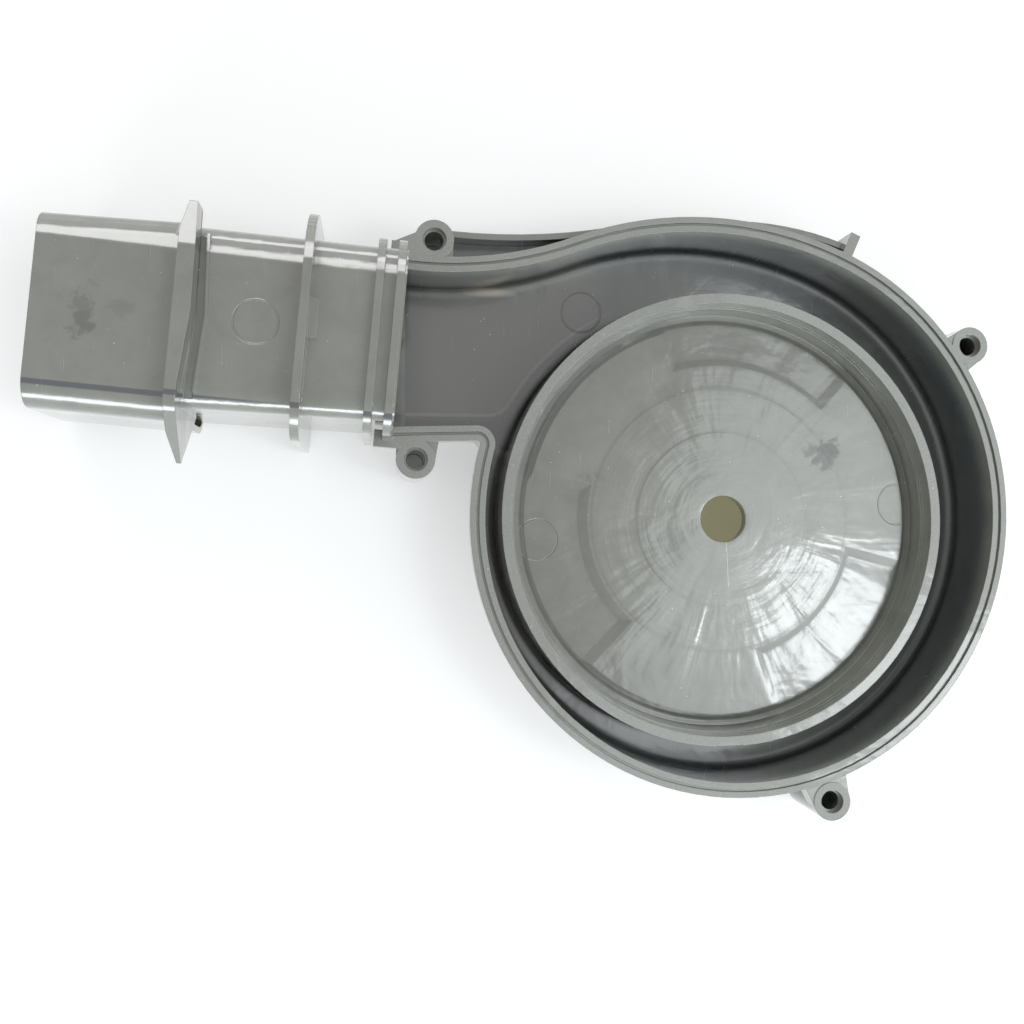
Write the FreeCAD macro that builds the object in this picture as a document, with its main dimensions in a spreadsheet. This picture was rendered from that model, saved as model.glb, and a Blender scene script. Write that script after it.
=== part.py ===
import FreeCAD
import Part
import math
import os

# Scroll housing of a vacuum cleaner's direct-air fan: one moulded piece, open side up.
# Frame: origin on the axis of the shaft hole, in the front face of the hub; +Z points out of
# the open side; the outlet duct leaves towards -X and turns a few degrees towards +Y.
# Depths are measured down from the mating rim, heights up from it.

os.makedirs("parts", exist_ok=True)
doc = FreeCAD.newDocument("scroll_housing")
Vec = FreeCAD.Vector

# Driving dimensions, millimetres and degrees

SIZES = [
    ("rim_level", 3.6, "mating rim above the hub face"),
    ("trough_depth", 24.0, "rim down to the trough floor"),
    ("wall", 2.6, "general wall"),
    ("rim_width", 4.6, "rim, from its inner to its outer edge"),
    ("rim_height", 5.0, "depth of the thick band under the rim"),
    ("seal_inset", 2.3, "inner edge of the rim to the middle of the seal groove"),
    ("seal_width", 0.9, "width of the seal groove"),
    ("seal_depth", 0.8, "depth of the seal groove"),
    ("trough_start_width", 5.0, "ring to the scroll wall where the trough is narrowest"),
    ("trough_start_y", -0.3, "where along Y that is"),
    ("volute_extra_a", 11.0, "scroll wall, first arc: radius beyond the ring's"),
    ("volute_turn_a", 137.5, "turn of the first arc"),
    ("volute_extra_b", 14.8, "scroll wall, second arc: radius beyond the ring's"),
    ("volute_turn_b", 109.5, "turn of the second arc"),
    ("volute_extra_c", 40.0, "scroll wall, third arc: radius beyond the ring's"),
    ("volute_turn_c", 44.0, "turn of the third arc"),
    ("outlet_radius", 117.5, "hollow bend that leads into the outlet"),
    ("duct_turn", 5.0, "outlet axis, from -X towards +Y"),
    ("mouth_width", 47.4, "clear width of the channel where the duct begins"),
    ("cutoff_rise", 1.6, "slope of the channel's lower wall"),
    ("cutoff_radius", 5.5, "rounding of the cut-off tongue, inner face"),
    ("trough_bevel", 1.5, "bevel between trough floor and walls"),
    ("ring_radius", 70.0, "outer radius of the fan ring"),
    ("ring_flat", 3.0, "width of the ring's flat top"),
    ("ledge_depth", 5.0, "rim down to the ledge in the ring's bore"),
    ("ledge_width", 0.8, "width of that ledge"),
    ("skirt_lean", 0.9, "how far the bore closes in below the ledge"),
    ("moat_depth", 10.5, "rim down to the channel round the disc"),
    ("moat_width", 3.0, "width of that channel"),
    ("moat_slope", 1.2, "run of the slope from that channel up to the disc"),
    ("plate_depth", 7.4, "rim down to the disc at its outer edge"),
    ("step_depth", 6.4, "rim down to the plain annulus at its outer edge"),
    ("step_drop", 0.5, "step down from the annulus to the disc"),
    ("step_run", 0.8, "run of that step"),
    ("annulus_radius", 41.0, "outer radius of the plain annulus"),
    ("pad_radius", 27.0, "radius of the hub pad"),
    ("pad_depth", 4.9, "rim down to the hub pad at its edge"),
    ("pad_step", 0.4, "step down from the hub pad to the annulus"),
    ("pad_step_run", 0.5, "run of that step"),
    ("dome_radius", 18.5, "radius of the domed middle"),
    ("dome_depth", 4.3, "rim down to the edge of the domed middle"),
    ("hub_radius", 12.0, "radius of the flat round the shaft hole"),
    ("hub_thickness", 3.6, "length of the shaft hole"),
    ("shaft_hole_radius", 7.35, "shaft hole"),
    ("sector_depth", 9.8, "rim down to the three lowered sectors"),
    ("sector_span", 60.0, "angle of each lowered sector at the disc's face"),
    ("sector_first", 317.0, "direction of the first lowered sector"),
    ("sector_slope", 3.2, "run of a lowered sector's sloping edge"),
    ("sector_inner", 42.0, "inner radius of two of the lowered sectors"),
    ("sector_inner_upper", 48.0, "inner radius of the lowered sector nearest the outlet"),
    ("recess_wall", 2.6, "ring wall round the motor recess"),
    ("chip_angle", 270.5, "direction of the chip in the ring's outer edge"),
    ("chip_width", 10.0, "length of the chip along the edge, degrees"),
    ("chip_reach", 1.3, "how far the chip goes into the ring"),
    ("chip_depth", 1.2, "depth of the chip"),
    ("boss_radius", 5.9, "outside of a screw boss"),
    ("boss_hole_radius", 2.85, "screw hole"),
    ("boss_mouth_radius", 3.6, "counterbore of the screw hole"),
    ("boss_mouth_depth", 2.0, "depth of the counterbore"),
    ("boss_hole_depth", 18.0, "screw hole, from the boss face"),
    ("boss_height", 21.0, "length of a boss"),
    ("boss_outlet_back", 7.2, "upper outlet boss, from the mouth back along the channel"),
    ("boss_outlet_out", 10.0, "the same boss, from the wall's inner face outwards"),
    ("boss_outlet_flare", 0.3, "widening of its lug towards the wall, on both sides"),
    ("boss_cutoff_back", 7.5, "lower outlet boss, from the mouth back along the channel"),
    ("boss_cutoff_out", 9.0, "the same boss, from the wall's inner face outwards"),
    ("boss_cutoff_flare", 0.8, "widening of its lug, on both sides"),
    ("boss_right_angle", 34.5, "right boss, direction seen from the second arc's centre"),
    ("boss_right_out", 9.4, "the same boss, from the wall's inner face outwards"),
    ("boss_right_flare", 0.6, "widening of its lug, on both sides"),
    ("boss_low_angle", 287.4, "bottom boss, direction seen from the first arc's centre"),
    ("boss_low_out", 10.8, "the same boss, from the wall's inner face outwards"),
    ("boss_low_flare", 1.6, "widening of its lug, on both sides"),
    ("lug_inset", 0.1, "how far a lug stands in from the boss's sides"),
    ("lug_drop", 0.3, "boss face down to the lug"),
    ("lug_height", 5.7, "depth of the lug that joins a boss to the rim"),
    ("duct_height", 20.2, "top of the duct above the rim"),
    ("duct_floor_corner", 3.4, "outside corners of the duct at its floor"),
    ("duct_upper_corner", 7.7, "outside corner of the duct's roof, upper side"),
    ("duct_lower_corner", 5.0, "outside corner of the duct's roof, lower side"),
    ("duct_wall", 2.0, "wall of the duct"),
    ("duct_low_step", 1.7, "how far the duct's lower side stands in from the channel's"),
    ("duct_low_flare", 2.0, "lower side, turned outwards along the duct, degrees"),
    ("duct_high_lean", 0.6, "upper side, turned inwards along the duct, degrees"),
    ("duct_length", 99.6, "mouth to the end of the spigot"),
    ("spigot_start", 59.0, "mouth to the start of the spigot"),
    ("spigot_high_step", 0.4, "how far the spigot stands out from the duct on its upper side"),
    ("spigot_high_lean", 2.8, "its upper side, turned inwards, degrees"),
    ("spigot_low_step", 3.8, "how far the spigot stands out on its lower side"),
    ("spigot_upper_corner", 5.4, "outside corners of the spigot's upper side"),
    ("spigot_lower_corner", 8.0, "outside corners of the spigot's lower side"),
    ("collar_rib", 2.3, "thickness of a collar rib"),
    ("collar_gap", 3.4, "groove between the two collar ribs"),
    ("collar_start", 0.6, "mouth to the first collar rib"),
    ("collar_proud", 2.2, "height of the collar ribs"),
    ("rib_place", 25.7, "mouth to the middle rib"),
    ("rib_thickness", 2.5, "thickness of the middle rib"),
    ("rib_proud", 6.4, "height of the middle rib"),
    ("rib_corner", 6.5, "corner of the duct's roof that the ribs follow"),
    ("rib_foot_corner", 2.0, "corners at the foot of collar and middle rib"),
    ("tab_reach", 2.4, "small tab beside the middle rib"),
    ("tab_width", 11.0, "width of that tab"),
    ("tab_height", 2.2, "height of that tab above the duct"),
    ("tab_side", 1.6, "duct axis to the middle of that tab"),
    ("flange_place", 58.1, "mouth to the flange"),
    ("flange_thickness", 3.2, "thickness of the flange's plate"),
    ("flange_rise", 6.6, "flange above the duct's top"),
    ("flange_swell", 1.8, "extra thickness at the kink in the flange's near face"),
    ("flange_swell_end", 1.1, "extra thickness at the flange's upper end"),
    ("flange_low_end", 20.5, "duct axis to where that extra thickness ends on the lower side"),
    ("flange_thinning", 2.0, "how much the plate thins towards its two tips"),
    ("flange_tip_run", 8.0, "length over which it thins"),
    ("flange_round", 6.0, "rounding of the shoulder above the flange's horn"),
    ("flange_tip_round", 0.6, "rounding of the horn's tip"),
    ("flange_corner", 1.0, "rounding of the ear's corners"),
    ("flange_low_shoulder", 26.3, "duct axis to the shoulder above the flange's horn"),
    ("flange_horn_reach", 41.3, "duct axis to the tip of the horn"),
    ("flange_horn_level", 9.4, "tip of the horn above the rim"),
    ("flange_ear_reach", 28.4, "duct axis to the end of the flange's ear on the upper side"),
    ("flange_ear_depth", 4.4, "height of that ear's end"),
    ("flange_foot", 10.0, "where the horn's underside meets the duct, below the rim"),
    ("kink_side", 0.5, "duct axis to the kinks in flange and lip, towards the lower side"),
    ("neck_width", 2.6, "channel in the roof between flange and lip"),
    ("neck_depth", 0.9, "depth of that channel"),
    ("lip_place", 54.2, "mouth to the lip along that channel, at the lip's ends"),
    ("lip_kink", 1.3, "how far the middle of the lip stands nearer the mouth"),
    ("lip_thickness", 0.9, "thickness of the lip"),
    ("lip_proud", 0.4, "height of the lip"),
    ("ledge_thickness", 3.0, "ledges that run on from the rim beside the collar"),
    ("ledge_reach", 5.4, "length of the ledges past the mouth"),
    ("ledge_end", 0.9, "straight length at the far end of their outer edges"),
    ("ledge_low_side", 1.8, "lower ledge, how far it stands out beyond the rim"),
    ("ledge_top_side", 3.6, "upper ledge, how far it stands out beyond the rim at its end"),
    ("ledge_slant", 28.5, "slant of its outer edge towards the boss, degrees"),
    ("strip_thickness", 1.9, "strip outside the outlet bend"),
    ("strip_depth", 2.6, "rim down to the top of the strip"),
    ("strip_height", 12.0, "height of the strip"),
    ("strip_start_back", 5.2, "middle of the upper outlet boss back to the strip's start"),
    ("strip_start_side", 3.9, "the same place, outwards"),
    ("strip_sag", 2.1, "hollow of the strip between the boss and the scroll"),
    ("strip_end_angle", 101.0, "where the strip meets the scroll, seen from the third arc's centre"),
    ("strip_end_out", 4.8, "the same place, from the wall's inner face outwards"),
    ("tail_start_angle", 84.0, "where the strip leaves the scroll again"),
    ("tail_start_out", 5.2, "the same place, from the wall's inner face outwards"),
    ("tail_bulge", 1.7, "how far that end of the strip bows out"),
    ("web_depth", 9.0, "rim down to the web between strip and wall"),
    ("web_thickness", 2.2, "thickness of that web"),
    ("post_angle", 66.0, "small post at the strip's end"),
    ("post_out", 7.3, "the same post, from the wall's inner face outwards"),
    ("post_width", 3.2, "thickness of the post"),
    ("post_reach", 8.4, "length of the post"),
    ("post_height", 14.0, "height of the post"),
]

sheet = doc.addObject("Spreadsheet::Sheet", "Dimensions")
for row, (alias, value, note) in enumerate(SIZES, start=1):
    sheet.set("A%d" % row, alias.replace("_", " "))
    sheet.set("B%d" % row, str(value))
    sheet.set("C%d" % row, note)
    sheet.setAlias("B%d" % row, alias)
doc.recompute()


def size(alias):
    """A driving dimension, read from the sheet."""
    return float(getattr(sheet, alias))


# Plane geometry

def heading(angle):
    """Unit vector at an angle in degrees."""
    return Vec(math.cos(math.radians(angle)), math.sin(math.radians(angle)), 0)


def turned(vector):
    """The vector turned a quarter to the left."""
    return Vec(-vector.y, vector.x, 0)


def direction(vector):
    """Angle of a vector in degrees."""
    return math.degrees(math.atan2(vector.y, vector.x))


def arc_about(centre, radius, first, last):
    """Arc about a centre from one angle to another in degrees, whichever way round it runs."""
    circle = Part.Circle(Vec(centre.x, centre.y, 0), Vec(0, 0, 1), radius)
    low, high = sorted((math.radians(first), math.radians(last)))
    return Part.ArcOfCircle(circle, low, high)


def circle_about(x, y, radius):
    return [Part.Circle(Vec(x, y, 0), Vec(0, 0, 1), radius)]


def rounded_outline(points, radii):
    """Closed outline through the points, each corner rounded by its own radius."""
    corners = []
    for i, here in enumerate(points):
        before = points[i - 1]
        after = points[(i + 1) % len(points)]
        into = (here - before).normalize()
        out = (after - here).normalize()
        turn = math.atan2(into.x * out.y - into.y * out.x, into.dot(out))
        reach = radii[i] * math.tan(abs(turn) / 2)
        start = here - into * reach
        end = here + out * reach
        side = 1 if turn > 0 else -1
        centre = start + turned(into) * (side * radii[i])
        middle = centre + (start - centre + end - centre).normalize() * radii[i]
        corners.append((start, middle, end))
    edges = []
    for i, (start, middle, end) in enumerate(corners):
        edges.append(Part.Arc(start, middle, end))
        edges.append(Part.LineSegment(end, corners[(i + 1) % len(corners)][0]))
    return edges


def straight_outline(points):
    """Closed outline through the points with sharp corners."""
    following = points[1:] + points[:1]
    return [Part.LineSegment(a, b) for a, b in zip(points, following)]


def sector_outline(inner, outer, middle, span):
    """Sector of a ring about the origin."""
    low = middle - span / 2
    high = middle + span / 2
    origin = Vec(0, 0, 0)
    return [
        arc_about(origin, inner, low, high),
        Part.LineSegment(heading(high) * inner, heading(high) * outer),
        arc_about(origin, outer, low, high),
        Part.LineSegment(heading(low) * outer, heading(low) * inner),
    ]


# Scroll wall: its inner face is a chain of tangent arcs, moved outwards by an offset

volute_arcs = [
    (size("ring_radius") + size("volute_extra_a"), size("volute_turn_a")),
    (size("ring_radius") + size("volute_extra_b"), size("volute_turn_b")),
    (size("ring_radius") + size("volute_extra_c"), size("volute_turn_c")),
]
volute_start = Vec(-size("ring_radius") - size("trough_start_width"), size("trough_start_y"), 0)
duct_axis = heading(180 - size("duct_turn"))
mouth_side = heading(90 - size("duct_turn"))

# Three quarter turns lead from the first arc's start to a wall along -X; the bend takes off the rest
outlet_turn = sum(turn for radius, turn in volute_arcs) - 270 + size("duct_turn")


def volute_walk(offset):
    """Arcs of the scroll wall as (centre, radius, angle, angle), and the inner face's end."""
    place = volute_start
    angle = 180.0
    walk = []
    for radius, turn in volute_arcs:
        centre = place - heading(angle) * radius
        walk.append((centre, radius + offset, angle, angle + turn))
        angle += turn
        place = centre + heading(angle) * radius
    bend = size("outlet_radius")
    centre = place + heading(angle) * bend
    walk.append((centre, bend - offset, angle + 180, angle + 180 - outlet_turn))
    place = centre - heading(angle - outlet_turn) * bend
    return walk, place


mouth_top = volute_walk(0)[1]
mouth_low = mouth_top - mouth_side * size("mouth_width")
mouth_middle = (mouth_top + mouth_low) * 0.5
low_along = heading(size("cutoff_rise"))
low_outward = -turned(low_along)


def wall_chain(offset):
    """Open chain from the lower side of the mouth round to its upper side, with its two ends."""
    walk = volute_walk(offset)[0]
    first_centre, first_radius = walk[0][0], walk[0][1]
    nose = size("cutoff_radius") - offset
    nose_line = mouth_low + low_outward * size("cutoff_radius")
    gap = nose_line - first_centre
    along = gap.dot(low_along)
    step = -along - math.sqrt(along ** 2 - gap.dot(gap) + (first_radius + nose) ** 2)
    nose_centre = nose_line + low_along * step
    low_end = mouth_low + low_outward * offset
    low_end -= low_along * ((low_end - mouth_low).dot(duct_axis) / low_along.dot(duct_axis))
    nose_angle = direction(first_centre - nose_centre)
    edges = [
        Part.LineSegment(low_end, nose_centre - low_outward * nose),
        arc_about(nose_centre, nose, nose_angle, direction(-low_outward)),
        arc_about(first_centre, first_radius, nose_angle + 180, walk[0][3]),
    ]
    edges += [arc_about(*piece) for piece in walk[1:]]
    return edges, low_end, mouth_top + mouth_side * offset


def wall_outline(offset):
    """Closed outline: the chain and a line across the mouth."""
    edges, low_end, top_end = wall_chain(offset)
    return edges + [Part.LineSegment(top_end, low_end)]


def wall_band(inner, outer):
    """Closed outline of the strip between two offsets."""
    near, near_low, near_top = wall_chain(inner)
    far, far_low, far_top = wall_chain(outer)
    return near + far + [Part.LineSegment(near_low, far_low), Part.LineSegment(near_top, far_top)]


# Sketches and features of the one moulded body

body = doc.addObject("PartDesign::Body", "scroll_housing")
body.Label = "scroll_housing"
body.Placement = FreeCAD.Placement(Vec(0, 0, 0), FreeCAD.Rotation())
origin_parts = {item.Role: item for item in body.Origin.OriginFeatures}
SHEET = "Dimensions."


def flat_sketch(name, edges, depth="0"):
    """Sketch parallel to the rim at a depth below it, given as an expression."""
    sketch = body.newObject("Sketcher::SketchObject", name)
    sketch.AttachmentSupport = [(origin_parts["XY_Plane"], "")]
    sketch.MapMode = "FlatFace"
    sketch.setExpression("AttachmentOffset.Base.z", "(%srim_level - (%s)) * 1 mm" % (SHEET, depth))
    sketch.addGeometry(edges, False)
    return sketch


def profile_sketch(name, edges):
    """Sketch of a half section: first coordinate is the radius, second the height from the rim."""
    sketch = body.newObject("Sketcher::SketchObject", name)
    sketch.AttachmentSupport = [(origin_parts["XZ_Plane"], "")]
    sketch.MapMode = "FlatFace"
    sketch.setExpression("AttachmentOffset.Base.y", SHEET + "rim_level * 1 mm")
    sketch.addGeometry(edges, False)
    return sketch


def duct_sketch(name, edges, place):
    """Sketch across the duct at a distance from the mouth: sideways, and height from the rim."""
    sketch = body.newObject("Sketcher::SketchObject", name)
    sketch.AttachmentSupport = [(origin_parts["YZ_Plane"], "")]
    sketch.MapMode = "FlatFace"
    spot = mouth_middle + duct_axis * place
    turn = FreeCAD.Rotation(Vec(0, 1, 0), -size("duct_turn"))
    sketch.AttachmentOffset = FreeCAD.Placement(Vec(spot.y, size("rim_level"), spot.x), turn)
    sketch.addGeometry(edges, False)
    return sketch


def lengthwise(kind, name, sketch, length, reverse):
    """Pad or pocket of a sketch over a length given as an expression."""
    feature = body.newObject("PartDesign::" + kind, name)
    feature.Profile = sketch
    feature.setExpression("Length", length)
    feature.Reversed = reverse
    doc.recompute()
    return feature


def pad_down(name, edges, length, depth="0"):
    """Material from a depth below the rim downwards."""
    return lengthwise("Pad", name, flat_sketch(name + "_sketch", edges, depth), length, True)


def cut_down(name, edges, length, depth="0"):
    """Cut from a depth below the rim downwards."""
    return lengthwise("Pocket", name, flat_sketch(name + "_sketch", edges, depth), length, False)


def pad_outward(name, edges, place, length):
    """Material along the duct, away from the scroll, from a place after the mouth."""
    return lengthwise("Pad", name, duct_sketch(name + "_sketch", edges, place), length, True)


def cut_round(name, edges):
    """Turned cut about the shaft axis."""
    groove = body.newObject("PartDesign::Groove", name)
    groove.Profile = profile_sketch(name + "_sketch", edges)
    groove.ReferenceAxis = (origin_parts["Z_Axis"], [""])
    groove.Angle = 360.0
    doc.recompute()
    return groove


# Scroll: block, thick rim band and its seal groove

full_depth = SHEET + "trough_depth + " + SHEET + "wall"
pad_down("Shell", wall_outline(size("wall")), full_depth)
pad_down("RimBand", wall_outline(size("rim_width")), SHEET + "rim_height")


# Screw bosses on lugs outside the rim

def about_arc(number, angle, out):
    """Place outside one of the scroll's arcs: direction from its centre, distance from the inner face."""
    centre, radius = volute_walk(0)[0][number][:2]
    return centre + heading(angle) * (radius + out)


def beside_mouth(end, outward, back, out):
    """Place beside the channel, back from the mouth and out from the wall's inner face."""
    return end - duct_axis * back + outward * out


def lug_outline(boss, towards, name):
    """Lug from a boss towards the wall, widening by its flare on both sides."""
    half = turned(towards) * (size("boss_radius") - size("lug_inset"))
    flare = turned(towards) * size(name + "_flare")
    foot = boss + towards * (size(name + "_out") - size("wall") / 2)
    return straight_outline([boss + half, boss - half, foot - half - flare, foot + half + flare])


upper_boss = beside_mouth(mouth_top, mouth_side, size("boss_outlet_back"), size("boss_outlet_out"))
lower_boss = beside_mouth(mouth_low, -mouth_side, size("boss_cutoff_back"), size("boss_cutoff_out"))
right_boss = about_arc(1, size("boss_right_angle"), size("boss_right_out"))
bottom_boss = about_arc(0, size("boss_low_angle"), size("boss_low_out"))
bosses = [upper_boss, lower_boss, right_boss, bottom_boss]
lugs = lug_outline(upper_boss, -mouth_side, "boss_outlet")
lugs += lug_outline(lower_boss, mouth_side, "boss_cutoff")
lugs += lug_outline(right_boss, -heading(size("boss_right_angle")), "boss_right")
lugs += lug_outline(bottom_boss, -heading(size("boss_low_angle")), "boss_low")
pad_down("BossLugs", lugs, SHEET + "lug_height", SHEET + "lug_drop")


def boss_circles(radius):
    edges = []
    for boss in bosses:
        edges += circle_about(boss.x, boss.y, radius)
    return edges


pad_down("Bosses", boss_circles(size("boss_radius")), SHEET + "boss_height")


# Outlet duct: tube, collar, middle rib, lip, flange and spigot, all solid before the bore

half_width = size("mouth_width") / 2 + size("duct_wall")
underside = -size("trough_depth") - size("wall")
duct_roof = size("duct_height")


def slope(alias):
    """Rise over run of an angle on the sheet."""
    return math.tan(math.radians(size(alias)))


def duct_section(low, high, foot, roof, corners):
    """Section across the duct between its lower and upper side, its foot and its roof."""
    points = [Vec(-low, foot, 0), Vec(high, foot, 0), Vec(high, roof, 0), Vec(-low, roof, 0)]
    return rounded_outline(points, corners)


def duct_low_side(along):
    return half_width - size("duct_low_step") + slope("duct_low_flare") * along


def duct_high_side(along):
    return half_width - slope("duct_high_lean") * along


def tube_section(along, inset):
    low = duct_low_side(along) - inset
    high = duct_high_side(along) - inset
    floor_corner = size("duct_floor_corner") - inset
    upper = size("duct_upper_corner") - inset
    lower = size("duct_lower_corner") - inset
    corners = [floor_corner, floor_corner, upper, lower]
    return duct_section(low, high, underside + inset, duct_roof - inset, corners)


def spigot_section(along, inset):
    """The spigot stands out on both sides and narrows towards its end."""
    start = size("spigot_start")
    low = duct_low_side(start) + size("spigot_low_step") - inset
    high = duct_high_side(start) + size("spigot_high_step") - inset
    high -= slope("spigot_high_lean") * (along - start)
    upper = size("spigot_upper_corner") - inset
    lower = size("spigot_lower_corner") - inset
    corners = [lower, upper, upper, lower]
    return duct_section(low, high, underside + inset, duct_roof - inset, corners)


def rib_section(proud):
    """A rib goes round the duct's sides and roof; its foot is level with the housing."""
    foot = size("rib_foot_corner")
    roof = size("rib_corner") + proud
    side = half_width + proud
    return duct_section(side, side, underside, duct_roof + proud, [foot, foot, roof, roof])


def duct_loft(kind, name, section, start, end, inset):
    """Material or bore of the duct between its sections at two places after the mouth."""
    loft = body.newObject("PartDesign::" + kind, name)
    loft.Profile = duct_sketch(name + "_start", section(start, inset), start)
    loft.Sections = [duct_sketch(name + "_end", section(end, inset), end)]
    loft.Ruled = True
    doc.recompute()


def tab_section():
    low = size("tab_side") - size("tab_width") / 2
    high = size("tab_side") + size("tab_width") / 2
    foot = duct_roof - size("duct_wall") / 2
    roof = duct_roof + size("tab_height")
    return straight_outline([Vec(low, foot, 0), Vec(high, foot, 0), Vec(high, roof, 0), Vec(low, roof, 0)])


def flange_outline():
    """Plate across the duct with a horn on the lower side and a short ear on the upper."""
    top = duct_roof + size("flange_rise")
    foot = -size("flange_foot")
    inside = half_width - size("duct_wall")
    points = [
        Vec(-size("flange_low_shoulder"), top, 0),
        Vec(-size("flange_horn_reach"), size("flange_horn_level"), 0),
        Vec(-inside, foot, 0),
        Vec(inside, foot, 0),
        Vec(inside, duct_roof - size("duct_wall"), 0),
        Vec(size("flange_ear_reach"), top - size("flange_ear_depth"), 0),
        Vec(size("flange_ear_reach"), top, 0),
    ]
    foot_corner = size("rib_foot_corner")
    corner = size("flange_corner")
    radii = [size("flange_round"), size("flange_tip_round"), foot_corner, foot_corner, corner, corner, corner]
    return rounded_outline(points, radii)


second_rib = size("collar_start") + size("collar_rib") + size("collar_gap")
spigot_start = size("spigot_start")
duct_end = size("duct_length")
duct_loft("AdditiveLoft", "Duct", tube_section, 0, spigot_start, 0)
pad_outward("CollarRib", rib_section(size("collar_proud")), size("collar_start"), SHEET + "collar_rib")
pad_outward("CollarOuterRib", rib_section(size("collar_proud")), second_rib, SHEET + "collar_rib")
pad_outward("MiddleRib", rib_section(size("rib_proud")), size("rib_place"), SHEET + "rib_thickness")
pad_outward("MiddleRibTab", tab_section(), size("rib_place") - size("tab_reach"), SHEET + "tab_reach")
pad_outward("Flange", flange_outline(), size("flange_place"), SHEET + "flange_thickness")
duct_loft("AdditiveLoft", "Spigot", spigot_section, spigot_start, duct_end, 0)

# The flange's kinked near face and thinner tips; beside it a shallow channel and a lip on the roof


def on_duct(along, side):
    """Plan place from the distance after the mouth and the distance to the side of the axis."""
    return mouth_middle + duct_axis * along + mouth_side * side


near_face = size("flange_place")
far_face = near_face + size("flange_thickness")
kink = -size("kink_side")
ear = size("flange_ear_reach")
horn = -size("flange_horn_reach")
swell = [
    on_duct(near_face, -size("flange_low_end")),
    on_duct(near_face - size("flange_swell"), kink),
    on_duct(near_face - size("flange_swell_end"), ear),
    on_duct(near_face + size("flange_thickness") / 2, ear),
    on_duct(near_face + size("flange_thickness") / 2, -size("flange_low_end")),
]
flange_top = "-(%sduct_height + %sflange_rise)" % (SHEET, SHEET)
swell_height = SHEET + "flange_rise + " + SHEET + "duct_wall / 2"
pad_down("FlangeSwell", straight_outline(swell), swell_height, flange_top)


def thinned_tip(tip, outward):
    """Wedge that the plate lacks on its far face, from before a tip to just past it."""
    thinning = size("flange_thinning")
    before = tip - outward * size("flange_tip_run")
    past = tip + outward * size("flange_thickness")
    deepest = thinning * abs(past - before) / size("flange_tip_run")
    return straight_outline([
        on_duct(far_face, before),
        on_duct(far_face + thinning, before),
        on_duct(far_face + thinning, past),
        on_duct(far_face - deepest, past),
    ])


tip_height = SHEET + "duct_height + " + SHEET + "flange_rise"
tips = thinned_tip(horn, -1) + thinned_tip(ear, 1)
cut_down("FlangeTips", tips, tip_height, flange_top)


def kinked_strip(near, far, half):
    """Plan strip across the roof that bends towards the mouth at the kink."""
    back = size("lip_kink")
    return straight_outline([
        on_duct(near, half), on_duct(near - back, kink), on_duct(near, -half),
        on_duct(far, -half), on_duct(far - back, kink), on_duct(far, half),
    ])


lip_near = size("lip_place")
lip_far = lip_near + size("lip_thickness")
lip_half = half_width - size("duct_upper_corner") / 2
lip_top = "-(%sduct_height + %slip_proud)" % (SHEET, SHEET)
lip_height = SHEET + "lip_proud + " + SHEET + "duct_wall"
neck = kinked_strip(lip_far, lip_far + size("neck_width"), half_width + size("duct_wall"))
neck_top = "-" + SHEET + "duct_height"
pad_down("Lip", kinked_strip(lip_near, lip_far, lip_half), lip_height, lip_top)
cut_down("Neck", neck, SHEET + "neck_depth", neck_top)

# Ledges that carry the rim on past the mouth to the collar; the upper one widens to its boss


def ledge_outline(end, outward, side, slant):
    """Ledge from inside the wall outwards; its outer edge may slant back to the boss."""
    near = size("wall") / 2
    far = size("rim_width") + side
    reach = size("ledge_reach")
    bend = reach - size("ledge_end")
    back = size("boss_radius")
    return straight_outline([
        beside_mouth(end, outward, back, near),
        beside_mouth(end, outward, -reach, near),
        beside_mouth(end, outward, -reach, far),
        beside_mouth(end, outward, -bend, far),
        beside_mouth(end, outward, back, far + slant * (bend + back)),
    ])


ledges = ledge_outline(mouth_low, -mouth_side, size("ledge_low_side"), 0)
ledges += ledge_outline(mouth_top, mouth_side, size("ledge_top_side"), slope("ledge_slant"))
pad_down("Ledges", ledges, SHEET + "ledge_thickness")

# Strip outside the outlet bend in two lengths, its web, and the post at its end


def bowed(start, end, bow):
    """Arc between two places; a positive bow puts its middle to the left of the chord."""
    chord = end - start
    return start + chord * 0.5 + turned(chord).normalize() * bow


def strip_outline(start, end, bow, thickness):
    """Strip of even thickness along an arc; the thickness goes towards the scroll."""
    inward = turned(end - start).normalize() * -thickness
    middle = bowed(start, end, bow)
    return [
        Part.Arc(start, middle, end),
        Part.LineSegment(end, end + inward),
        Part.Arc(end + inward, middle + inward, start + inward),
        Part.LineSegment(start + inward, start),
    ]


strip_start = beside_mouth(upper_boss, mouth_side, size("strip_start_back"), size("strip_start_side"))
strip_end = about_arc(2, size("strip_end_angle"), size("strip_end_out"))
tail_start = about_arc(2, size("tail_start_angle"), size("tail_start_out"))
post = about_arc(2, size("post_angle"), size("post_out"))
post_way = heading(size("post_angle"))
tail_end = post + post_way * (size("strip_thickness") / 2)


def strips(thickness, tail_thickness):
    """Both lengths of the strip, or of the web that joins them to the wall."""
    edges = strip_outline(strip_start, strip_end, -size("strip_sag"), thickness)
    return edges + strip_outline(tail_start, tail_end, size("tail_bulge"), tail_thickness)


strip_thickness = size("strip_thickness")
web_outline = strips(size("boss_radius") + strip_thickness, size("rim_width") + strip_thickness)
pad_down("Strips", strips(strip_thickness, strip_thickness), SHEET + "strip_height", SHEET + "strip_depth")
pad_down("StripWebs", web_outline, SHEET + "web_thickness", SHEET + "web_depth")


def post_outline():
    """The post reaches from the wall outwards."""
    half = turned(post_way) * (size("post_width") / 2)
    out = post + post_way * (size("post_reach") / 2)
    back = post - post_way * (size("post_reach") / 2)
    return straight_outline([back - half, out - half, out + half, back + half])


pad_down("Post", post_outline(), SHEET + "post_height")

# Trough round the ring, its floor bevel, then the duct's bore and the spigot's wider bore

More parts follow.
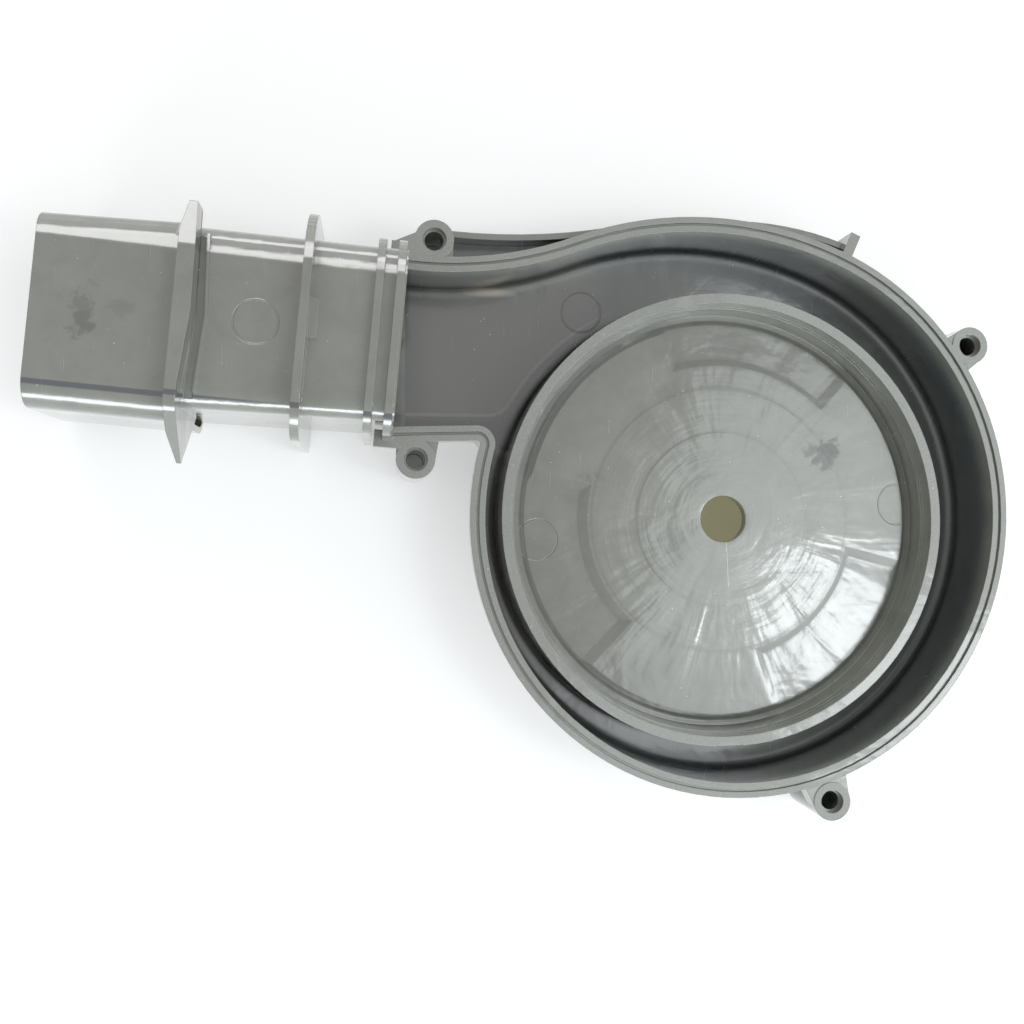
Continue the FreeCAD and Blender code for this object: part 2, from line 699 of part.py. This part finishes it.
trough = wall_outline(0) + circle_about(0, 0, size("ring_radius"))
trough_cut = cut_down("Trough", trough, SHEET + "trough_depth")
floor_level = size("rim_level") - size("trough_depth")


def floor_edges(shape):
    """Edges of the trough floor, without the one at the mouth."""
    touching = 1e-3
    names = []
    for number, edge in enumerate(shape.Edges, start=1):
        middle = edge.valueAt((edge.FirstParameter + edge.LastParameter) / 2)
        points = [middle] + [vertex.Point for vertex in edge.Vertexes]
        level = all(abs(point.z - floor_level) < touching for point in points)
        at_mouth = (Vec(middle.x, middle.y, 0) - mouth_middle).dot(duct_axis) > -touching
        if level and not at_mouth:
            names.append("Edge%d" % number)
    return names


floor_bevel = body.newObject("PartDesign::Chamfer", "TroughBevel")
floor_bevel.Base = (trough_cut, floor_edges(trough_cut.Shape))
floor_bevel.setExpression("Size", SHEET + "trough_bevel")
doc.recompute()


duct_loft("SubtractiveLoft", "DuctBore", tube_section, 0, spigot_start, size("duct_wall"))
duct_loft("SubtractiveLoft", "SpigotBore", spigot_section, spigot_start, duct_end, size("duct_wall"))

# Seal groove in the rim, screw holes in the bosses

groove_inner = size("seal_inset") - size("seal_width") / 2
groove_outer = size("seal_inset") + size("seal_width") / 2
cut_down("SealGroove", wall_band(groove_inner, groove_outer), SHEET + "seal_depth")
cut_down("ScrewHoles", boss_circles(size("boss_hole_radius")), SHEET + "boss_hole_depth")
cut_down("ScrewMouths", boss_circles(size("boss_mouth_radius")), SHEET + "boss_mouth_depth")

# Ring and disc: the turned fan recess above and the turned motor recess below

ring_bore = size("ring_radius") - size("ring_flat")
skirt_top = ring_bore - size("ledge_width")
skirt_foot = skirt_top - size("skirt_lean")
disc_edge = skirt_foot - size("moat_width")
front = [
    (0, 0), (ring_bore, 0), (ring_bore, -size("ledge_depth")), (skirt_top, -size("ledge_depth")),
    (skirt_foot, -size("moat_depth")), (disc_edge, -size("moat_depth")),
    (disc_edge - size("moat_slope"), -size("plate_depth")),
    (size("annulus_radius") + size("step_run"), -size("step_depth") - size("step_drop")),
    (size("annulus_radius"), -size("step_depth")),
    (size("pad_radius") + size("pad_step_run"), -size("pad_depth") - size("pad_step")),
    (size("pad_radius"), -size("pad_depth")), (size("dome_radius"), -size("dome_depth")),
    (size("hub_radius"), -size("rim_level")), (0, -size("rim_level")),
]
cut_round("FanRecess", straight_outline([Vec(r, z, 0) for r, z in front]))

back = [
    (0, underside), (size("ring_radius") - size("recess_wall"), underside),
    (size("ring_radius") - size("recess_wall"), -size("moat_depth") - size("wall")),
    (size("annulus_radius"), -size("sector_depth") - size("wall")),
    (size("pad_radius"), -size("pad_depth") - size("wall") - size("pad_step")),
    (size("hub_radius"), -size("rim_level") - size("hub_thickness")),
    (0, -size("rim_level") - size("hub_thickness")),
]
cut_round("MotorRecess", straight_outline([Vec(r, z, 0) for r, z in back]))
cut_down("ShaftHole", circle_about(0, 0, size("shaft_hole_radius")), full_depth)

# Three lowered sectors in the disc, hollows behind the raised ones, and the chip in the ring


def lowered_sector(name, inner, middle):
    """Sloping-sided hollow between a wide outline above and a narrower one at its floor."""
    run = size("sector_slope")
    outer = disc_edge + size("moat_width") / 2
    span = size("sector_span") + math.degrees(run / inner)
    floor_span = size("sector_span") - math.degrees(run / inner)
    loft = body.newObject("PartDesign::SubtractiveLoft", name)
    wide = sector_outline(inner, outer, middle, span)
    narrow = sector_outline(inner + run, outer, middle, floor_span)
    loft.Profile = flat_sketch(name + "_face", wide, SHEET + "step_depth")
    loft.Sections = [flat_sketch(name + "_floor", narrow, SHEET + "sector_depth")]
    loft.Ruled = True
    doc.recompute()


third = 360 / 3
lowered_sector("SectorRight", size("sector_inner"), size("sector_first"))
lowered_sector("SectorUpper", size("sector_inner_upper"), size("sector_first") + third)
lowered_sector("SectorLeft", size("sector_inner"), size("sector_first") + 2 * third)

back_inner = size("annulus_radius") + size("wall")
back_outer = disc_edge - size("moat_width") / 2 - size("wall")
back_span = third - size("sector_span") - math.degrees(size("wall") / back_inner)
back_depth = SHEET + "trough_depth - " + SHEET + "plate_depth"
hollows = []
for turn in (third / 2, 3 * third / 2, 5 * third / 2):
    hollows += sector_outline(back_inner, back_outer, size("sector_first") + turn, back_span)
hollow_sketch = flat_sketch("BackHollows_sketch", hollows, full_depth)
lengthwise("Pocket", "BackHollows", hollow_sketch, back_depth, True)

chip_outer = size("ring_radius") + size("chip_reach")
chip_inner = size("ring_radius") - size("chip_reach")
chip_start = heading(size("chip_angle") - size("chip_width") / 2) * chip_outer
chip_end = heading(size("chip_angle") + size("chip_width") / 2) * chip_outer
chip_middle = heading(size("chip_angle")) * chip_inner
chip = [Part.Arc(chip_start, chip_middle, chip_end), Part.LineSegment(chip_end, chip_start)]
cut_down("Chip", chip, SHEET + "chip_depth")

# Checks, then the finished solid

doc.recompute()
for item in doc.Objects:
    if "Invalid" in item.State or "Error" in item.State:
        raise RuntimeError("%s failed to build" % item.Label)
shape = body.Shape
if shape.isNull() or not shape.isValid():
    raise RuntimeError("%s has no valid shape" % body.Label)
print(body.Label, "volume", round(shape.Volume), "solids", len(shape.Solids), shape.BoundBox)
shape.exportStep("parts/scroll_housing.step")
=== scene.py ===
import bpy
import math
from types import SimpleNamespace
from mathutils import Matrix, Vector


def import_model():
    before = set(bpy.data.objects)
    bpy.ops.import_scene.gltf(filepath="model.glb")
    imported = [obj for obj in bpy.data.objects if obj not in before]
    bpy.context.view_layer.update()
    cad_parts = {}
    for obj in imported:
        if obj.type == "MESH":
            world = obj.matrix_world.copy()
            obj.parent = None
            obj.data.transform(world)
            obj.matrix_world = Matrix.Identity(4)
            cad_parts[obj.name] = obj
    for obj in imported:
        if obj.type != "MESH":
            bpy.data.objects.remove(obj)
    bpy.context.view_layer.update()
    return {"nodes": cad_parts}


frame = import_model()
housing = frame["nodes"]["scroll_housing"]

# Levels, radii and places on the part, metres in the part's frame

MM = 0.001
RIM_LEVEL = 3.6 * MM
SHADE_TOP = -6.0 * MM          # the trough's painted shade is whole below this level
FLOOR_LEVEL = -19.0 * MM       # the trough's floor, with its rounding up to FLOOR_TOP
FLOOR_TOP = -17.0 * MM
UNDERSIDE = -23.0 * MM
RING_OUTER = 70.0 * MM
BORE_EDGE = 64.5 * MM
DISC_EDGE = 62.3 * MM
MOUTH = -98.0 * MM             # where the channel meets the duct
DUCT_ROOF = 23.8 * MM
DUCT_SLOPE = 0.0875            # the duct runs at five degrees
ROOF_DARK_LINE = 18.6 * MM     # both measured across the duct
ROOF_BRIGHT_BAND = 57.0 * MM
CHANNEL_RIGHT = -28.0 * MM
CHANNEL_BOTTOM = 22.0 * MM
SHADE_RADIUS = 74.7 * MM       # the channel's floor is painted dark as shade inside this radius and below this y
SHADE_LINE = 33.4 * MM

# The photograph's camera: its place in millimetres, its axes and its lens

CAMERA_PLACE = (-106.6036, -6.1871, 317.0873)
CAMERA_RIGHT = (0.992087, 0.0, 0.12555)
CAMERA_BACK = (-0.12551, -0.025512, 0.991764)
CAMERA_LENS = 36.914
CAMERA_SENSOR = 36.0
CAMERA_NEAREST = 0.01

# Colours

WHITE = (1.0, 1.0, 1.0, 1.0)
PLASTIC_DARK = (0.128, 0.134, 0.112, 1.0)
PLASTIC_LIGHT = (0.158, 0.165, 0.138, 1.0)
TROUGH_SHADE = (0.028, 0.035, 0.038, 1.0)
CHANNEL_FLOOR_PAINTED_LIGHT = (0.12, 0.12, 0.1, 1.0)
CHANNEL_PAINTED_HIGHLIGHT = (0.35, 0.34, 0.3, 1.0)
CHANNEL_PAINTED_SHADE = (0.004, 0.004, 0.004, 1.0)
SCROLL_START_PAINTED_LIGHT = (0.2, 0.2, 0.185, 1.0)
WARM_PAINTED_REFLECTION = (0.55, 0.47, 0.36, 1.0)
ROOF_PAINTED_REFLECTION = (0.01, 0.014, 0.03, 1.0)
RIM_GRAIN = (0.19, 0.196, 0.18, 1.0)
SMUDGE = (0.03, 0.031, 0.029, 1.0)
SCRATCH = (0.42, 0.42, 0.41, 1.0)
LONG_SCRATCH = (0.55, 0.55, 0.53, 1.0)
DUST = (0.5, 0.5, 0.48, 1.0)
FLOOR_PALE = (0.72, 0.72, 0.72, 1.0)
FLOOR_UNDER_HOLE = (0.72, 0.68, 0.52, 1.0)
GLOW_UNDER_HOLE = (1.0, 0.95, 0.6, 1.0)

# Heights of the surface relief

WAVE_HEIGHT = 0.4 * MM
CLOUD_HEIGHT = 0.06 * MM
WEDGE_HEIGHT = 0.6 * MM
RING_HEIGHT = 0.16 * MM
STREAK_HEIGHT = 0.08 * MM
PEEL_HEIGHT = 0.006 * MM
MARK_DEPTH = 0.14 * MM
LONG_SCRATCH_DEPTH = 0.05 * MM

# Lights: name, place, width, height, radiance, colour

SOFTBOXES = (
    ("softbox_right", (0.6, -0.2, 0.93), 0.2, 0.34, 7.0, (0.92, 0.98, 1.0)),
    ("softbox_wide", (0.72, -0.25, 0.85), 1.1, 1.3, 1.35, (0.9, 0.97, 1.0)),
    ("softbox_low", (-0.1, -1.0, 0.28), 1.4, 0.32, 7.0, (0.9, 0.96, 1.0)),
    ("softbox_top", (-0.1, 1.0, 0.28), 1.4, 0.32, 4.0, (1.0, 1.0, 1.0)),
)
HORIZON_LIGHT = 0.95
ZENITH_LIGHT = 0.25


def camera():
    """The photograph's view: close above the part, a little to the left, leaning right."""
    data = bpy.data.cameras.new("camera")
    data.sensor_width = CAMERA_SENSOR
    data.lens = CAMERA_LENS
    data.clip_start = CAMERA_NEAREST
    item = bpy.data.objects.new("camera", data)
    bpy.context.scene.collection.objects.link(item)
    right = Vector(CAMERA_RIGHT)
    back = Vector(CAMERA_BACK)
    up = back.cross(right)
    turn = Matrix((right, up, back)).transposed()
    item.matrix_world = Matrix.Translation(Vector(CAMERA_PLACE) * MM) @ turn.to_4x4()
    bpy.context.scene.camera = item


# Node helpers for the procedural materials and the world


class Graph:
    """Short calls that add shader nodes to a material or a world and link them."""

    def __init__(self, owner):
        owner.use_nodes = True
        self.tree = owner.node_tree
        self.tree.nodes.clear()

    def node(self, kind, inputs=None, **settings):
        made = self.tree.nodes.new(kind)
        for key, value in settings.items():
            setattr(made, key, value)
        for key, value in (inputs or {}).items():
            self.feed(made.inputs[key], value)
        return made

    def feed(self, socket, value):
        if isinstance(value, bpy.types.NodeSocket):
            self.tree.links.new(value, socket)
        else:
            socket.default_value = value

    def math(self, operation, first, second=0.0, third=0.0):
        made = self.node("ShaderNodeMath", operation=operation)
        for socket, value in zip(made.inputs, (first, second, third)):
            self.feed(socket, value)
        return made.outputs[0]

    def chain(self, operation, terms):
        total = terms[0]
        for term in terms[1:]:
            total = self.math(operation, total, term)
        return total

    def add(self, *terms):
        return self.chain("ADD", terms)

    def times(self, *terms):
        return self.chain("MULTIPLY", terms)

    def highest(self, *terms):
        return self.chain("MAXIMUM", terms)

    def less(self, first, second):
        return self.math("SUBTRACT", first, second)

    def level_length(self, x, y):
        return self.math("SQRT", self.add(self.times(x, x), self.times(y, y)))

    def ramp(self, value, low, high, start=0.0, end=1.0):
        """Smooth change from start to end while the value goes from low to high."""
        inputs = {"Value": value, "From Min": low, "From Max": high, "To Min": start, "To Max": end}
        return self.node("ShaderNodeMapRange", inputs, interpolation_type="SMOOTHSTEP").outputs["Result"]

    def band(self, value, middle, half, soft):
        """One inside a band about the middle, falling softly to nothing."""
        away = self.math("ABSOLUTE", self.less(value, middle))
        return self.ramp(away, half, half + soft, 1.0, 0.0)

    def noise(self, vector, scale, detail=4.0, roughness=0.55, distortion=0.0):
        inputs = {"Vector": vector, "Scale": scale, "Detail": detail, "Roughness": roughness, "Distortion": distortion}
        return self.node("ShaderNodeTexNoise", inputs).outputs["Fac"]

    def mix(self, factor, first, second):
        inputs = {"Factor": factor, "A": first, "B": second}
        return self.node("ShaderNodeMix", inputs, data_type="RGBA").outputs["Result"]

    def vector(self, x, y, z):
        made = self.node("ShaderNodeCombineXYZ")
        for socket, value in zip(made.inputs, (x, y, z)):
            self.feed(socket, value)
        return made.outputs[0]

    def vector_math(self, operation, *vectors):
        return self.node("ShaderNodeVectorMath", dict(enumerate(vectors)), operation=operation)

    def parts(self, vector):
        return self.node("ShaderNodeSeparateXYZ", {"Vector": vector}).outputs

    def turned_place(self, place, turn, scale):
        """The place turned about Z and stretched, for noise that runs in one direction."""
        inputs = {"Vector": place, "Rotation": (0.0, 0.0, turn), "Scale": scale}
        return self.node("ShaderNodeMapping", inputs).outputs[0]

    def from_point(self, x, y, place):
        """Level distance to a point given in millimetres."""
        return self.level_length(self.less(x, place[0] * MM), self.less(y, place[1] * MM))


# The plastic: regions of the part, its relief, its marks and its colour


def regions(g):
    """Places on the part, and masks that are one in a region and nothing outside it."""
    r = SimpleNamespace()
    r.place = g.node("ShaderNodeTexCoord").outputs["Object"]
    r.x, r.y, r.z = g.parts(r.place)
    r.radius = g.level_length(r.x, r.y)
    r.angle = g.math("ARCTAN2", r.y, r.x)
    r.across_duct = g.add(r.y, g.times(r.x, DUCT_SLOPE))
    upward = g.parts(g.node("ShaderNodeNewGeometry").outputs["True Normal"])[2]
    r.facing_up = g.ramp(upward, 0.7, 0.9)

    r.on_disc = g.times(g.ramp(r.radius, DISC_EDGE, DISC_EDGE + 1.5 * MM, 1.0, 0.0), r.facing_up)
    r.over_disc = g.times(
        g.ramp(r.radius, BORE_EDGE, BORE_EDGE + 1.0 * MM, 1.0, 0.0),
        g.ramp(upward, 0.2, 0.3),
    )
    r.on_rim = g.times(g.band(r.z, RIM_LEVEL, 0.15 * MM, 0.1 * MM), r.facing_up)
    r.in_trough = g.times(
        g.ramp(r.radius, RING_OUTER - 0.5 * MM, RING_OUTER),
        g.ramp(r.z, SHADE_TOP, RIM_LEVEL, 1.0, 0.0),
        g.ramp(r.z, UNDERSIDE + 1.5 * MM, UNDERSIDE + 2.0 * MM),
        g.ramp(r.x, MOUTH - 1.0 * MM, MOUTH),
    )
    r.on_floor = g.times(r.in_trough, g.ramp(r.z, FLOOR_LEVEL, FLOOR_TOP, 1.0, 0.0))
    r.in_channel = g.times(
        r.on_floor,
        g.ramp(r.x, CHANNEL_RIGHT - 18.0 * MM, CHANNEL_RIGHT, 1.0, 0.0),
        g.ramp(r.y, CHANNEL_BOTTOM, CHANNEL_BOTTOM + 2.0 * MM),
    )
    # Where the trough's floor gets painted light at the scroll's start.
    r.scroll_start = g.times(
        r.in_trough,
        g.ramp(r.x, -62.0 * MM, -50.0 * MM, 1.0, 0.0),
        g.ramp(r.y, 14.0 * MM, 26.0 * MM, 1.0, 0.0),
    )
    r.on_roof = g.times(
        g.ramp(r.x, MOUTH - 1.0 * MM, MOUTH, 1.0, 0.0),
        g.ramp(r.z, DUCT_ROOF - 1.0 * MM, DUCT_ROOF - 0.5 * MM),
    )
    return r


def ejector_marks(g, r):
    """Rings left by the ejector pins: a thin groove round a slightly sunk face."""
    marks = []
    for spot, size, region in (
        ((-57.9, -6.4), 6.3, r.on_disc),
        ((59.3, 4.9), 6.4, r.on_disc),
        ((-41.1, 68.1), 6.5, r.on_floor),
        ((-140.4, 53.4), 6.2, r.on_roof),
    ):
        away = g.from_point(r.x, r.y, spot)
        groove = g.band(away, size * MM, 0.12 * MM, 0.22 * MM)
        face = g.ramp(away, (size - 0.3) * MM, (size + 0.1) * MM, 0.35, 0.0)
        marks.append(g.times(g.highest(groove, face), region))
    return g.highest(*marks)


def fine_scratches(g, r, clouds):
    """Long thin lines in two directions, in worn patches only."""
    sets = []
    for turn, fine, short in ((0.5, 2600.0, 60.0), (-0.9, 2300.0, 75.0)):
        lines = g.noise(g.turned_place(r.place, turn, (fine, short, short)), 1.0, 1.0, 0.5, 0.2)
        sets.append(g.ramp(lines, 0.75, 0.82))
    return g.times(g.highest(*sets), g.ramp(clouds, 0.45, 0.6))


def long_scratch(g, r):
    """The straight scratch below the shaft hole."""
    off_line = g.less(g.less(r.x, 0.4 * MM), g.times(r.y, -0.075))
    along = g.band(r.y, -14.0 * MM, 6.5 * MM, 1.0 * MM)
    return g.times(g.band(off_line, 0.0, 0.06 * MM, 0.1 * MM), along, r.facing_up)


def smudges(g, r):
    """Dull blots with ragged edges on the disc and on the spigot's roof."""
    ragged = g.times(g.less(g.noise(r.place, 260.0, 3.0, 0.7), 0.5), 14.0 * MM)
    blots = []
    for spot, size, strength in (
        ((36.3, 23.2), 2.6, 1.0),
        ((34.0, 18.6), 2.4, 0.8),
        ((31.0, 22.0), 0.8, 0.7),
        ((-186.6, 58.6), 2.4, 0.55),
        ((-186.4, 51.8), 2.2, 0.75),
        ((-176.0, 56.5), 2.0, 0.3),
        ((-41.5, 12.7), 0.8, 0.6),
    ):
        away = g.less(g.from_point(r.x, r.y, spot), ragged)
        blots.append(g.ramp(away, (size - 0.6) * MM, (size + 2.2) * MM, strength, 0.0))
    return g.times(g.highest(*blots), r.facing_up)


def dust(g, r):
    """Single specks, thinned out in patches."""
    cells = g.node("ShaderNodeTexVoronoi", {"Vector": r.place, "Scale": 420.0}, feature="F1")
    specks = g.ramp(cells.outputs["Distance"], 0.05, 0.14, 1.0, 0.0)
    return g.times(specks, g.ramp(g.noise(r.place, 300.0, 2.0), 0.58, 0.64), r.facing_up)


def trough_painted_shade_and_light(g, r, colour):
    """Painted shade over the trough, with painted light on the channel's floor, its painted highlight stripe and
    painted dark shade at its edge, painted light at the scroll's start, and a painted warm reflection.
    """
    shade_edge = g.math("SMOOTH_MIN", g.less(r.radius, SHADE_RADIUS), g.less(r.y, SHADE_LINE), 7.0 * MM)
    # Painted light: the channel's floor kept lighter than the trough's painted shade, less so near the mouth.
    painted_floor_light = g.times(
        r.in_channel,
        g.ramp(shade_edge, -0.5 * MM, 0.6 * MM, 0.0, 0.75),
        g.ramp(r.x, MOUTH + 1.0 * MM, MOUTH + 10.0 * MM, 0.3, 1.0),
    )
    # Painted highlight: a thin light stripe along the edge of the channel's painted dark shade.
    painted_highlight = g.times(r.in_channel, g.band(shade_edge, 0.3 * MM, 0.25 * MM, 0.6 * MM), 0.35)
    # Painted shade: the channel's floor darkened almost to nothing inside SHADE_RADIUS and below SHADE_LINE.
    painted_dark_shade = g.times(r.in_channel, g.ramp(shade_edge, -2.5 * MM, -0.3 * MM, 0.9, 0.0))
    # Painted reflection: a warm highlight on the rounding at the foot of the channel's upper wall.
    warm_reflection_place = g.vector(
        g.math("DIVIDE", g.add(r.x, 71.0 * MM), 9.0 * MM),
        g.math("DIVIDE", g.less(r.y, 73.6 * MM), 1.5 * MM),
        0.0,
    )
    from_warm_reflection = g.vector_math("LENGTH", warm_reflection_place).outputs["Value"]

    # Painted shade: the trough darkened towards TROUGH_SHADE, fully below SHADE_TOP and fading out at the rim.
    colour = g.mix(g.times(r.in_trough, 0.85), colour, TROUGH_SHADE)
    colour = g.mix(painted_floor_light, colour, CHANNEL_FLOOR_PAINTED_LIGHT)
    colour = g.mix(painted_highlight, colour, CHANNEL_PAINTED_HIGHLIGHT)
    colour = g.mix(painted_dark_shade, colour, CHANNEL_PAINTED_SHADE)
    # Painted light: the trough's floor lighter at the scroll's start, standing in for the sky's reflection on the
    # floor's rounding.
    colour = g.mix(g.times(r.scroll_start, 0.8), colour, SCROLL_START_PAINTED_LIGHT)
    return g.mix(g.times(r.on_floor, g.ramp(from_warm_reflection, 0.2, 1.2, 0.6, 0.0)), colour, WARM_PAINTED_REFLECTION)


def disc_relief(g, r):
    """Wedges and rings that run round the hub, on the disc alone."""
    wedge_place = g.vector(g.times(r.radius, 9.0), g.times(r.angle, 1.6), 0.0)
    wedges = g.times(g.noise(wedge_place, 2.0, 3.0, 0.5, 0.5), g.ramp(r.radius, 14.0 * MM, 45.0 * MM))
    ring_place = g.vector(g.times(r.radius, 130.0), g.times(r.angle, 0.35), 0.0)
    rings = g.times(g.noise(ring_place, 1.3, 3.0, 0.6, 0.3), g.ramp(r.radius, 38.0 * MM, 50.0 * MM, 1.0, 0.3))
    return g.times(g.add(g.times(wedges, WEDGE_HEIGHT), g.times(rings, RING_HEIGHT)), r.on_disc)


def softened_normal(g, r):
    """Rounded edges; sectors that flow into the disc; the roof's upper edge leaning to the light."""
    edge_radius = g.add(0.35 * MM, g.times(r.on_disc, 2.2 * MM), g.times(r.on_floor, 2.5 * MM))
    edge = g.node("ShaderNodeBevel", {"Radius": edge_radius}, samples=4)
    from_glint = g.from_point(r.x, r.y, (40.0, -34.0))
    inputs = {
        "Factor": g.times(r.over_disc, g.ramp(from_glint, 24.0 * MM, 44.0 * MM, 0.72, 0.9)),
        "A": edge.outputs[0],
        "B": g.vector(r.x, r.y, 1.0),
    }
    domed = g.node("ShaderNodeMix", inputs, data_type="VECTOR").outputs["Result"]
    at_band = g.ramp(r.across_duct, ROOF_BRIGHT_BAND, ROOF_BRIGHT_BAND + 2.5 * MM)
    lean = g.vector(0.0, g.times(r.on_roof, at_band, 0.52), 0.0)
    leaned = g.vector_math("ADD", domed, lean).outputs[0]
    return g.vector_math("NORMALIZE", leaned).outputs[0]


def plastic():
    """Dark grey moulded plastic: glossy, with flow marks, ejector rings, fine scratches and smudges."""
    material = bpy.data.materials.new("moulded_plastic")
    g = Graph(material)
    r = regions(g)

    waves = g.noise(r.place, 45.0, 3.0, 0.5, 0.6)
    clouds = g.noise(r.place, 75.0, 4.0, 0.62, 0.5)
    peel = g.noise(r.place, 650.0, 2.0, 0.5)
    streaks = g.noise(g.turned_place(r.place, 0.09, (12.0, 90.0, 90.0)), 1.0, 4.0, 0.55, 0.4)
    grains = g.noise(r.place, 1900.0, 2.0, 0.7)
    scratches = fine_scratches(g, r, clouds)
    scratch = long_scratch(g, r)
    smudge = smudges(g, r)

    # Painted dark reflection: a dark bluish stripe near the roof's lower edge, where it turns into its lower corner.
    roof_painted_reflection = g.times(r.on_roof, g.band(r.across_duct, ROOF_DARK_LINE, 0.5 * MM, 0.5 * MM), 0.9)
    colour = g.mix(g.ramp(clouds, 0.3, 0.7), PLASTIC_DARK, PLASTIC_LIGHT)
    colour = trough_painted_shade_and_light(g, r, colour)
    colour = g.mix(roof_painted_reflection, colour, ROOF_PAINTED_REFLECTION)
    colour = g.mix(g.times(r.on_rim, g.ramp(grains, 0.4, 0.65, 0.15, 0.9)), colour, RIM_GRAIN)
    colour = g.mix(g.times(smudge, 0.92), colour, SMUDGE)
    colour = g.mix(g.times(scratches, 0.2), colour, SCRATCH)
    colour = g.mix(g.times(scratch, 0.8), colour, LONG_SCRATCH)
    colour = g.mix(g.times(dust(g, r), 0.6), colour, DUST)
    rough = g.add(
        0.17,
        g.times(clouds, 0.12),
        g.times(scratches, 0.15),
        g.times(smudge, 0.3),
        g.times(r.on_rim, 0.35),
    )
    relief = g.add(
        g.times(waves, WAVE_HEIGHT),
        g.times(clouds, CLOUD_HEIGHT),
        disc_relief(g, r),
        g.times(streaks, STREAK_HEIGHT),
        g.times(peel, PEEL_HEIGHT),
        g.times(ejector_marks(g, r), -MARK_DEPTH),
        g.times(scratch, -LONG_SCRATCH_DEPTH),
    )
    inputs = {"Height": relief, "Normal": softened_normal(g, r), "Strength": 1.0, "Distance": 1.0}
    bump = g.node("ShaderNodeBump", inputs).outputs[0]

    shader = g.node("ShaderNodeBsdfPrincipled", {
        "Base Color": colour,
        "Roughness": rough,
        "Normal": bump,
        "IOR": 1.52,
        "Specular IOR Level": 1.0,
        "Coat Weight": 1.0,
        "Coat Roughness": 0.1,
        "Coat IOR": 1.5,
        "Coat Normal": bump,
    })
    g.node("ShaderNodeOutputMaterial", {"Surface": shader.outputs[0]})
    return material


# Floor, light and background


def seen_rays(g):
    """One for the rays that show the background: camera, glossy and transmission rays."""
    path = g.node("ShaderNodeLightPath")
    return g.highest(*[path.outputs[name] for name in ("Is Camera Ray", "Is Glossy Ray", "Is Transmission Ray")])


def floor():
    """Plain pale floor under the part, white where the camera sees it lit, beige under the shaft hole."""
    size = 4.0
    mesh = bpy.data.meshes.new("floor")
    corners = [(-size, -size, 0), (size, -size, 0), (size, size, 0), (-size, size, 0)]
    mesh.from_pydata(corners, [], [(0, 1, 2, 3)])
    item = bpy.data.objects.new("floor", mesh)
    item.location = (0, 0, UNDERSIDE - 0.2 * MM)
    bpy.context.scene.collection.objects.link(item)

    material = bpy.data.materials.new("floor")
    g = Graph(material)
    x, y, z = g.parts(g.node("ShaderNodeTexCoord").outputs["Object"])
    outside = g.ramp(g.level_length(x, y), 30.0 * MM, 60.0 * MM)
    shader = g.node("ShaderNodeBsdfPrincipled", {
        "Base Color": g.mix(outside, FLOOR_UNDER_HOLE, FLOOR_PALE),
        "Roughness": 0.9,
        "Specular IOR Level": 0.0,
        "Emission Color": g.mix(outside, GLOW_UNDER_HOLE, WHITE),
        "Emission Strength": g.times(seen_rays(g), g.math("MULTIPLY_ADD", outside, 0.18, 0.18)),
    })
    g.node("ShaderNodeOutputMaterial", {"Surface": shader.outputs[0]})
    mesh.materials.append(material)


def softbox(name, place, width, height, radiance, colour):
    """Area light of an even radiance that faces the part."""
    data = bpy.data.lights.new(name, "AREA")
    data.shape = "RECTANGLE"
    data.size = width
    data.size_y = height
    data.energy = radiance * math.pi * width * height
    data.color = colour
    item = bpy.data.objects.new(name, data)
    item.location = place
    item.rotation_euler = (-Vector(place)).to_track_quat("-Z", "Y").to_euler()
    bpy.context.scene.collection.objects.link(item)


def world():
    """White for the rays that see it; for the light on the part, brighter low down than overhead."""
    made = bpy.data.worlds.new("world")
    bpy.context.scene.world = made
    g = Graph(made)
    height = g.parts(g.node("ShaderNodeTexCoord").outputs["Generated"])[2]
    inputs = {"Value": height, "From Min": 0.0, "From Max": 1.0, "To Min": HORIZON_LIGHT, "To Max": ZENITH_LIGHT}
    grade = g.node("ShaderNodeMapRange", inputs).outputs["Result"]
    seen = g.node("ShaderNodeBackground", {"Color": WHITE, "Strength": 1.0})
    light = g.node("ShaderNodeBackground", {"Color": WHITE, "Strength": grade})
    mix = g.node("ShaderNodeMixShader", {0: seen_rays(g), 1: light.outputs[0], 2: seen.outputs[0]})
    g.node("ShaderNodeOutputWorld", {"Surface": mix.outputs[0]})


camera()
floor()
world()
for box in SOFTBOXES:
    softbox(*box)
housing.data.materials[0] = plastic()
bpy.context.scene.view_settings.view_transform = "Standard"
